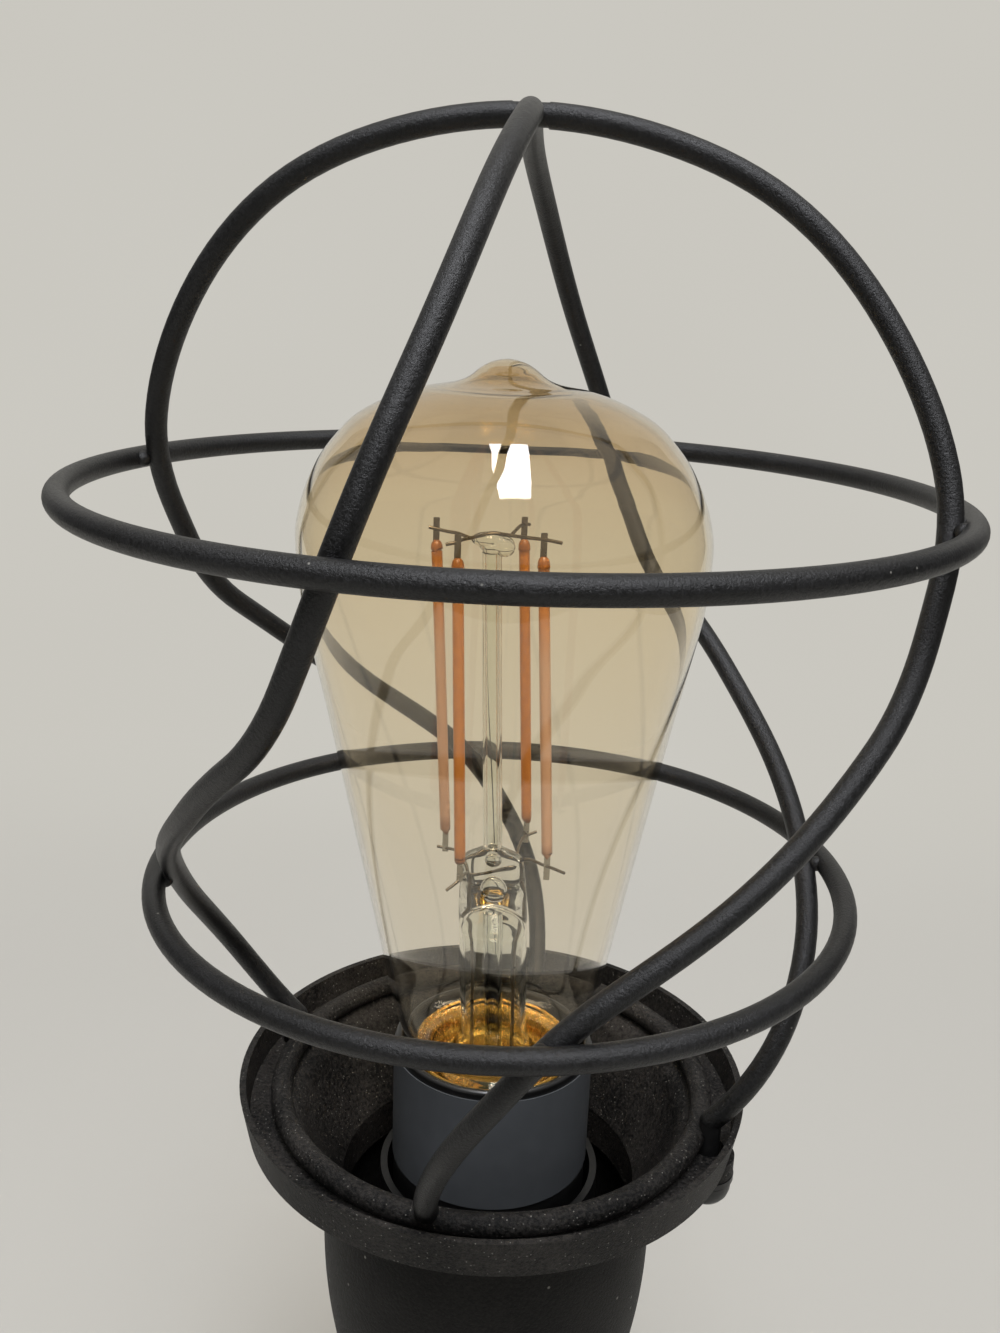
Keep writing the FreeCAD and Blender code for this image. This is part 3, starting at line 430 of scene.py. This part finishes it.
def between(a, b, c, d, t):
    # A place on the smooth line from b to c, which comes from a and goes on to d
    return 0.5 * (2 * b + (c - a) * t + (2 * a - 5 * b + 4 * c - d) * t * t
                  + (3 * b - a - 3 * c + d) * t ** 3)


def flowing(points, per_span):
    # A smooth line through points, with per_span steps between each two
    line = []
    ends = [2 * Vector(points[0]) - Vector(points[1])] + [Vector(p) for p in points]
    ends.append(2 * ends[-1] - ends[-2])
    for span in zip(ends, ends[1:], ends[2:], ends[3:]):
        line += [between(*span, i / per_span) for i in range(per_span)]
    return line + [ends[-2]]


# The line starts on the far side of the tip, which keeps it level where it crosses the axis
profile = [(-wide_r * crown[0][0], wide_z - glass_h * crown[0][1]), (0, tip_z)]
profile += [(wide_r * share, wide_z - glass_h * down) for share, down in crown + flank]
profile += [(12.0, 200.75), (11.4, 200.0), (neck_r, 199.0), (neck_r, neck_low)]
outer = [p for p in flowing(profile, 6) if p.x > -1e-4]
outer = outer[next(i for i, p in enumerate(outer) if abs(p.x) < 1e-4):]
inner = []
for before, here, after in zip([outer[0]] + outer, outer, outer[1:] + [outer[-1]]):
    along = (after - before).normalized()
    inner.append(Vector((max(here.x + along.y * glass_wall, 0),
                         here.y - along.x * glass_wall)))
inner[0] = Vector((0, tip_z - glass_wall))
inner[-1].y = neck_low


def tinted_glass(name, low_tint, high_tint, crown_tint, low_z, high_z, crown_z, coat_weight):
    # Blown glass: clear and smooth, with a tint that deepens from one height to the next,
    # where its coat is thicker. The lamps' light passes it straight and faintly tinted. A
    # thin metal-oxide coat makes amber glass reflect a little more than bare glass.
    material, tree = new_material(name)
    place = add(tree, "ShaderNodeTexCoord").outputs["Object"]
    height = add(tree, "ShaderNodeSeparateXYZ", Vector=place).outputs["Z"]
    rise = add(tree, "ShaderNodeMapRange", i0=height, i1=low_z * mm, i2=high_z * mm)
    haze = add(tree, "ShaderNodeTexNoise", Vector=place, Scale=40.0, Detail=2.0)
    share = add(tree, "ShaderNodeMath", {"operation": "MULTIPLY_ADD", "use_clamp": True},
                i0=haze.outputs["Fac"], i1=0.12, i2=rise.outputs[0])
    tint = add(tree, "ShaderNodeMixRGB", i0=share.outputs[0], i1=linear(low_tint),
               i2=linear(high_tint))
    top = add(tree, "ShaderNodeMapRange", i0=height, i1=high_z * mm, i2=crown_z * mm)
    tint = add(tree, "ShaderNodeMixRGB", i0=top.outputs[0], i1=tint.outputs[0],
               i2=linear(crown_tint))
    surface = add(tree, "ShaderNodeBsdfPrincipled", Base_Color=tint.outputs[0], Roughness=0.0,
                  IOR=1.5, Transmission_Weight=1.0, Coat_Weight=coat_weight, Coat_IOR=1.8,
                  Coat_Roughness=0.0)
    light = add(tree, "ShaderNodeMixRGB", i0=0.5, i1=tint.outputs[0], i2=(1, 1, 1, 1))
    clear = add(tree, "ShaderNodeBsdfTransparent", Color=light.outputs[0])
    ray = add(tree, "ShaderNodeLightPath")
    both = add(tree, "ShaderNodeMixShader", i0=ray.outputs["Is Shadow Ray"],
               i1=surface.outputs[0], i2=clear.outputs[0])
    add(tree, "ShaderNodeOutputMaterial", Surface=both.outputs[0])
    return material


amber = tinted_glass("amber_coated_glass", "#FEFAF1", "#FBF1DC", "#E6D2B0", low_z=215, high_z=292,
                     crown_z=312, coat_weight=0.12)
glass = turned("bulb_glass", [tuple(p) for p in outer] + [tuple(p) for p in reversed(inner)],
               160, amber)
for vert in glass.data.vertices:
    # The glass sits a degree out of true in its cap
    vert.co.x -= glass_lean * max(0, vert.co.z - cap_top * mm)
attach(glass, "lamp")
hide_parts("glass")


# Lamp mount: a clear glass tube flared into the neck and flattened on top into a press, where
# it holds the lead wires. The exhaust tube stands on it and ends in a melted bead.
clear = tinted_glass("clear_lead_glass", "#FBFCFA", "#F8FAF6", "#F8FAF6", low_z=200, high_z=280,
                     crown_z=290, coat_weight=0.0)
mount_lean = 0.038


def leaning(x, y, z):
    # The whole mount leans to the left from the cap's rim up
    return Vector((x - mount_lean * (z - cap_top), y, z)) * mm


def lofted(work, sections, sides):
    # Skins flattened rings: each section is (half width, half depth, height, squareness)
    rings = []
    for half_x, half_y, z, square in sections:
        if half_x < 1e-6:
            rings.append([work.verts.new(leaning(0, 0, z))])
            continue
        ring = []
        for k in range(sides):
            angle = 2 * math.pi * k / sides
            c, s = math.cos(angle), math.sin(angle)
            ring.append(work.verts.new(leaning(half_x * math.copysign(abs(c) ** square, c),
                                               half_y * math.copysign(abs(s) ** square, s), z)))
        rings.append(ring)
    ring_faces(work, rings)


def eased(sections, per_span):
    # The same sections with smooth in-between ones
    lines = []
    ends = [sections[0]] + sections + [sections[-1]]
    for span in zip(ends, ends[1:], ends[2:], ends[3:]):
        lines += [tuple(between(*four, i / per_span) for four in zip(*span))
                  for i in range(per_span)]
    return lines + [sections[-1]]


def drop(work, at, size):
    # Adds a leaning round drop or hollow, from its middle and its half width, depth and height
    made = bmesh.ops.create_uvsphere(work, u_segments=32, v_segments=20, radius=1)
    for vert in made["verts"]:
        vert.co = leaning(*(c + d * s for c, d, s in zip(at, vert.co, size)))
    return made["verts"]


# The outside goes from the flare up to the press's flat top, and the inside from the hollow
# under the press down to the flare again
flare_low, tube_r, tube_wall, hollow_top, press_top = 196.6, 5.7, 0.8, 226.9, 237.2
bore_half = tube_r - tube_wall
outside = eased([(10.0, 10.0, flare_low, 1), (8.2, 8.2, 198.2, 1), (6.4, 6.4, 201.0, 1),
                 (tube_r, tube_r, 205.0, 1), (tube_r, tube_r, 215.0, 1), (tube_r, 5.5, 221.5, 1),
                 (5.75, 4.0, 226.0, 0.95), (5.5, 2.5, 230.5, 0.85), (5.2, 2.0, 234.0, 0.8),
                 (4.6, 1.8, 235.7, 0.8), (2.6, 1.5, 236.7, 0.9), (1.7, 1.4, 237.1, 1)], 4)
inside = eased([(1.6, 0.8, hollow_top - 0.3, 1), (3.4, 1.7, 225.6, 1), (4.5, 3.2, 223.4, 1),
                (bore_half, bore_half, 220.0, 1), (bore_half, bore_half, 205.2, 1),
                (5.7, 5.7, 200.9, 1), (7.6, 7.6, 197.5, 1), (9.2, 9.2, flare_low, 1)], 4)
work = bmesh.new()
lofted(work, outside + [(0, 0, press_top, 1), (0, 0, hollow_top, 1)] + inside, 64)
if work.calc_volume(signed=True) < 0:
    bmesh.ops.reverse_faces(work, faces=work.faces[:])
# Two blisters blown in the press where the exhaust tube opens: hollows, so their faces point in
for at, size in (((0.15, 0, 229.6), (2.15, 1.25, 2.5)), ((0.1, 0, 234.9), (1.35, 0.85, 1.1))):
    walls = dict.fromkeys(face for vert in drop(work, at, size) for face in vert.link_faces)
    bmesh.ops.reverse_faces(work, faces=list(walls))
stem = finish_piece("stem_and_press", work, clear, 60)
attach(stem, "lamp")
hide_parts("glass_stem", "press")

exhaust_r, bore_r = 1.55, 0.85
work = bmesh.new()
for low, high in ((237.35, 286.2), (196.2, 225.6)):
    heights = steps_between(low, high, 12)
    lofted(work, [(exhaust_r, exhaust_r, z, 1) for z in heights]
           + [(bore_r, bore_r, z, 1) for z in reversed(heights)], 40)
exhaust = finish_piece("exhaust_tubes", work, clear)
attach(exhaust, "lamp")
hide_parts("exhaust_tube")

# Bead: drops of melted glass run together round the upper support wires
work = bmesh.new()
for at, size in (((-0.5, 0, 288.2), (2.7, 1.6, 1.25)), ((1.9, -0.2, 287.3), (1.75, 1.6, 1.7)),
                 ((0, 0, 287.0), (1.8, 1.6, 1.0))):
    drop(work, at, size)
drops = finish_piece("bead_drops", work, clear, 180)
remesh = drops.modifiers.new("melt", "REMESH")
remesh.mode, remesh.voxel_size, remesh.use_smooth_shade = "VOXEL", 0.14 * mm, True
smooth = drops.modifiers.new("flow", "SMOOTH")
smooth.factor, smooth.iterations = 0.5, 14
depsgraph = bpy.context.evaluated_depsgraph_get()
mesh = bpy.data.meshes.new_from_object(drops.evaluated_get(depsgraph))
bead = bpy.data.objects.new("melted_bead", mesh)
bpy.data.objects.remove(drops)
bpy.context.collection.objects.link(bead)
bead.data.materials.clear()
bead.data.materials.append(clear)
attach(bead, "lamp")
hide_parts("bead")


# Filaments: four thin rods of light chips on glass under an orange phosphor coat, with flat
# nickel tabs welded to thin support wires. Each follows its course through one node tree.
wire_tree = bpy.data.node_groups.new("drawn_along_course", "GeometryNodeTree")
for label, kind in (("Course", "Geometry"), ("Thickness", "Float"), ("Spacing", "Float"),
                    ("Sides", "Int"), ("Finish", "Material")):
    wire_tree.interface.new_socket(label, in_out="INPUT", socket_type="NodeSocket" + kind)
wire_tree.interface.new_socket("Geometry", in_out="OUTPUT", socket_type="NodeSocketGeometry")
given = add(wire_tree, "NodeGroupInput").outputs
course = add(wire_tree, "GeometryNodeMeshToCurve", i0=given["Course"])
course = add(wire_tree, "GeometryNodeCurveSplineType", {"spline_type": "CATMULL_ROM"},
             i0=course.outputs[0])
course = add(wire_tree, "GeometryNodeResampleCurve", {"mode": "LENGTH"}, Curve=course.outputs[0],
             Length=given["Spacing"])
radius = add(wire_tree, "ShaderNodeMath", {"operation": "MULTIPLY"}, i0=given["Thickness"],
             i1=0.5)
section = add(wire_tree, "GeometryNodeCurvePrimitiveCircle", Resolution=given["Sides"],
              Radius=radius.outputs[0])
width = add(wire_tree, "GeometryNodeInputNamedAttribute", {"data_type": "FLOAT"}, Name="width")
skin = add(wire_tree, "GeometryNodeCurveToMesh", Curve=course.outputs[0],
           Profile_Curve=section.outputs[0], Scale=width.outputs[0], Fill_Caps=True)
skin = add(wire_tree, "GeometryNodeSetShadeSmooth", i0=skin.outputs[0])
skin = add(wire_tree, "GeometryNodeRealizeInstances", i0=skin.outputs[0])
skin = add(wire_tree, "GeometryNodeSetMaterial", Geometry=skin.outputs[0],
           Material=given["Finish"])
add(wire_tree, "NodeGroupOutput", i0=skin.outputs[0])


def drawn(name, courses, thickness, spacing, sides, material):
    # One piece from courses in mm. A course's points are (x, y, z) or (x, y, z, share of width)
    host_mesh = bpy.data.meshes.new(name)
    points = [point for course in courses for point in course]
    edges, start = [], 0
    for course in courses:
        edges += [(start + i, start + i + 1) for i in range(len(course) - 1)]
        start += len(course)
    host_mesh.from_pydata([Vector(p[:3]) * mm for p in points], edges, [])
    widths = host_mesh.attributes.new("width", "FLOAT", "POINT")
    widths.data.foreach_set("value", [p[3] if len(p) > 3 else 1.0 for p in points])
    host = bpy.data.objects.new(name + "_course", host_mesh)
    bpy.context.collection.objects.link(host)
    modifier = host.modifiers.new("wire", "NODES")
    modifier.node_group = wire_tree
    values = {"Thickness": thickness * mm, "Spacing": spacing * mm, "Sides": sides,
              "Finish": material}
    for item in wire_tree.interface.items_tree:
        if item.in_out == "INPUT" and item.name in values:
            modifier[item.identifier] = values[item.name]
    depsgraph = bpy.context.evaluated_depsgraph_get()
    mesh = bpy.data.meshes.new_from_object(host.evaluated_get(depsgraph))
    bpy.data.objects.remove(host)
    piece = bpy.data.objects.new(name, mesh)
    bpy.context.collection.objects.link(piece)
    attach(piece, "lamp")
    return piece


# Phosphor in silicone: an even orange paste, a little waxy, browner where it laps the tabs
phosphor, tree = new_material("orange_phosphor_silicone")
place = add(tree, "ShaderNodeTexCoord").outputs["Object"]
spot = add(tree, "ShaderNodeSeparateXYZ", Vector=place).outputs
grain = add(tree, "ShaderNodeTexNoise", Vector=place, Scale=1000 / 1.2, Detail=3.0)
paste = add(tree, "ShaderNodeMixRGB", i0=grain.outputs["Fac"], i1=linear("#AC6826"),
            i2=linear("#C88236"))
# The two rods nearer the middle have their clear strip in front, and look paler but for the top
aside = add(tree, "ShaderNodeMath", {"operation": "ABSOLUTE"}, i0=spot["Y"])
inner_two = add(tree, "ShaderNodeMapRange", i0=aside.outputs[0], i1=7.2 * mm, i2=6.4 * mm)
under_top = add(tree, "ShaderNodeMapRange", i0=spot["Z"], i1=279 * mm, i2=270 * mm)
paler = add(tree, "ShaderNodeMath", {"operation": "MULTIPLY"}, i0=inner_two.outputs[0],
            i1=under_top.outputs[0])
paste = add(tree, "ShaderNodeMixRGB", i0=paler.outputs[0], i1=paste.outputs[0],
            i2=linear("#C39A7C"))
above = add(tree, "ShaderNodeMapRange", i0=spot["Z"], i1=284.2 * mm, i2=285.4 * mm)
below = add(tree, "ShaderNodeMapRange", i0=spot["Z"], i1=240.6 * mm, i2=239.0 * mm)
lapped = add(tree, "ShaderNodeMath", {"operation": "MAXIMUM"}, i0=above.outputs[0],
             i1=below.outputs[0])
share = add(tree, "ShaderNodeMath", {"operation": "MULTIPLY"}, i0=lapped.outputs[0], i1=0.55)
tone = add(tree, "ShaderNodeMixRGB", i0=share.outputs[0], i1=paste.outputs[0],
           i2=linear("#7C4A20"))
waxy = add(tree, "ShaderNodeBsdfPrincipled", Base_Color=tone.outputs[0], Roughness=0.38,
           Coat_Weight=0.25, Coat_Roughness=0.15)
add(tree, "ShaderNodeOutputMaterial", Surface=waxy.outputs[0])

# Ends of each filament, top then bottom: rear left, front left, rear right, front right
filament_ends = [((-12.15, 4.9, 286.9), (-9.55, 4.9, 237.5)),
                 ((-8.1, -8.5, 286.9), (-6.4, -8.5, 238.4)),
                 ((1.7, 8.5, 286.9), (4.15, 8.5, 238.6)),
                 ((4.6, -4.9, 286.9), (7.4, -4.9, 238.3))]
filament_d, filament_step = 1.75, 0.35
courses = []
for top, low in filament_ends:
    way = (Vector(top) - Vector(low)).normalized()
    length = (Vector(top) - Vector(low)).length
    stops = [(0, 0.45), (0.18, 0.72), (0.5, 0.93), (1.0, 1.0), (12, 1.0), (24, 1.02), (36, 1.0),
             (length - 2.6, 1.0), (length - 1.9, 1.12), (length - 0.9, 1.05),
             (length - 0.35, 0.85), (length, 0.5)]
    courses.append([tuple(Vector(low) + way * along) + (share,) for along, share in stops])
filaments = drawn("filament_rods", courses, filament_d, filament_step, 20, phosphor)
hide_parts("filaments")

# Nickel-plated wire and strip: grey metal, dulled to brown by the glass maker's flame. The
# strip's lower ends stayed out of the flame and bright
nickel = plain("flame_dulled_nickel", "#5C5448", "#8E8474", fleck_mm=1.5, rough=0.34, metal=1.0,
               rough_play=0.1)
bare_strip = plain("bright_nickel_strip", "#8F897C", "#BFB9AB", fleck_mm=1.5, rough=0.30,
                   metal=1.0, rough_play=0.08)
tab_w, tab_t, tab_lap, tab_edge = 1.0, 0.3, 0.9, 0.07
top_tab_l, low_tab_l = 4.5, (4.7, 4.4, 5.2, 5.2)
filament_mid_z = 260
work = bmesh.new()
for (top, low), low_l in zip(filament_ends, low_tab_l):
    for end, up, tab_l in ((top, 1, top_tab_l), (low, -1, low_l)):
        rise = up * (tab_l / 2 - tab_lap)
        for vert in bmesh.ops.create_cube(work, size=1)["verts"]:
            x, y, z = vert.co
            vert.co = Vector((end[0] + x * tab_w - mount_lean * rise, end[1] + y * tab_t,
                              end[2] + rise + z * tab_l)) * mm
bmesh.ops.bevel(work, geom=work.edges[:], offset=tab_edge * mm, segments=2, affect="EDGES")
tabs = finish_piece("filament_end_tabs", work, nickel)
tabs.data.materials.append(bare_strip)
for face in tabs.data.polygons:
    face.material_index = 1 if face.center.z < filament_mid_z * mm else 0
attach(tabs, "lamp")
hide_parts("filament_tabs")


# Support wires: thin nickel wires, spot welded to the tabs. Two cross over on the bead, and
# four come up out of the press, with a fifth looped between them.
upper_wire_d, lower_wire_d, wire_step = 0.55, 0.5, 0.3
upper_wires = [
    [(-13.4, 4.9, 288.9), (-12.2, 4.75, 288.7), (-10.4, 4.0, 288.5), (-8.65, 3.0, 288.45),
     (-7.2, 2.0, 288.15), (-6.1, 1.1, 288.1), (-4.8, 0.6, 288.8), (-3.2, 0.5, 289.2),
     (-1.6, 1.2, 288.9), (-0.7, 2.6, 288.45), (0.1, 4.6, 288.8), (0.9, 7.2, 289.2),
     (1.7, 8.8, 289.25), (2.5, 9.6, 289.1)],
    [(-9.9, -8.7, 288.9), (-8.6, -8.55, 289.2), (-7.6, -7.2, 289.4), (-6.6, -4.6, 289.2),
     (-5.3, -1.8, 289.05), (-3.4, -0.7, 289.3), (-1.6, -0.9, 289.3), (0.2, -2.0, 289.3),
     (2.4, -3.8, 289.45), (4.6, -4.95, 289.5), (6.0, -5.6, 289.4), (7.2, -6.1, 289.3)]]
upper = drawn("upper_support_wires", upper_wires, upper_wire_d, wire_step, 12, nickel)
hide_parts("top_supports")

lower_wires = [
    [(-10.9, 5.5, 234.3), (-9.4, 4.95, 234.3), (-7.6, 3.6, 234.6), (-6.2, 2.0, 234.6),
     (-5.4, 0.9, 233.9), (-5.1, 0.2, 232.6), (-4.6, 0.1, 231.4)],
    [(-8.4, -9.6, 233.7), (-6.5, -8.4, 234.9), (-5.8, -5.4, 234.5), (-5.35, -2.4, 233.5),
     (-5.1, -0.4, 231.9), (-4.5, -0.1, 230.6)],
    [(6.0, 9.4, 236.0), (4.6, 8.65, 235.7), (3.7, 7.0, 235.8), (3.0, 4.0, 235.5),
     (2.75, 1.6, 235.1), (3.1, 0.4, 233.6), (3.2, 0.1, 232.0)],
    [(10.2, -7.2, 236.4), (8.4, -5.6, 236.4), (7.0, -4.6, 236.4), (4.7, -2.4, 236.3),
     (3.3, -0.9, 235.2), (3.25, -0.2, 233.4), (3.3, 0, 231.6)],
    [(-5.0, -0.3, 232.4), (-3.6, -0.4, 232.55), (-1.7, -0.5, 233.0), (0.4, -0.5, 233.75),
     (1.8, -0.4, 234.05), (2.3, -0.2, 233.9), (1.6, 0.1, 233.5), (0, 0.2, 233.2),
     (-2.3, 0.2, 232.6), (-4.5, 0, 232.1)]]
lower = drawn("lower_support_wires", lower_wires, lower_wire_d, wire_step, 12, nickel)
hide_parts("bottom_supports")


# Lead wires: two nickel wires, held in the press, which go down through the hollow stem to the
# driver board in the cap.
lead_d, lead_step = 0.6, 0.4
lead_courses = [
    [(-4.75, 0, 231.6), (-4.7, 0, 229.4), (-4.6, 0.1, 227.6), (-4.4, 0.2, 226.0),
     (-4.95, 0.1, 224.6), (-4.35, 0, 223.4), (-4.25, 0, 219.6), (-3.95, 0, 208.2),
     (-3.7, 0, 200.3), (-3.2, 0, 197.0), (-3.0, 0, 194.5)],
    [(3.2, 0, 232.4), (3.35, 0, 230.5), (3.85, 0, 229.2), (3.6, 0.1, 227.4), (3.3, 0.1, 224.0),
     (2.95, 0, 219.9), (3.1, 0, 208.5), (3.15, 0, 200.6), (3.05, 0, 197.0), (3.0, 0, 194.5)]]
leads = drawn("lead_in_wires", lead_courses, lead_d, lead_step, 12, nickel)
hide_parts("lead_wires")
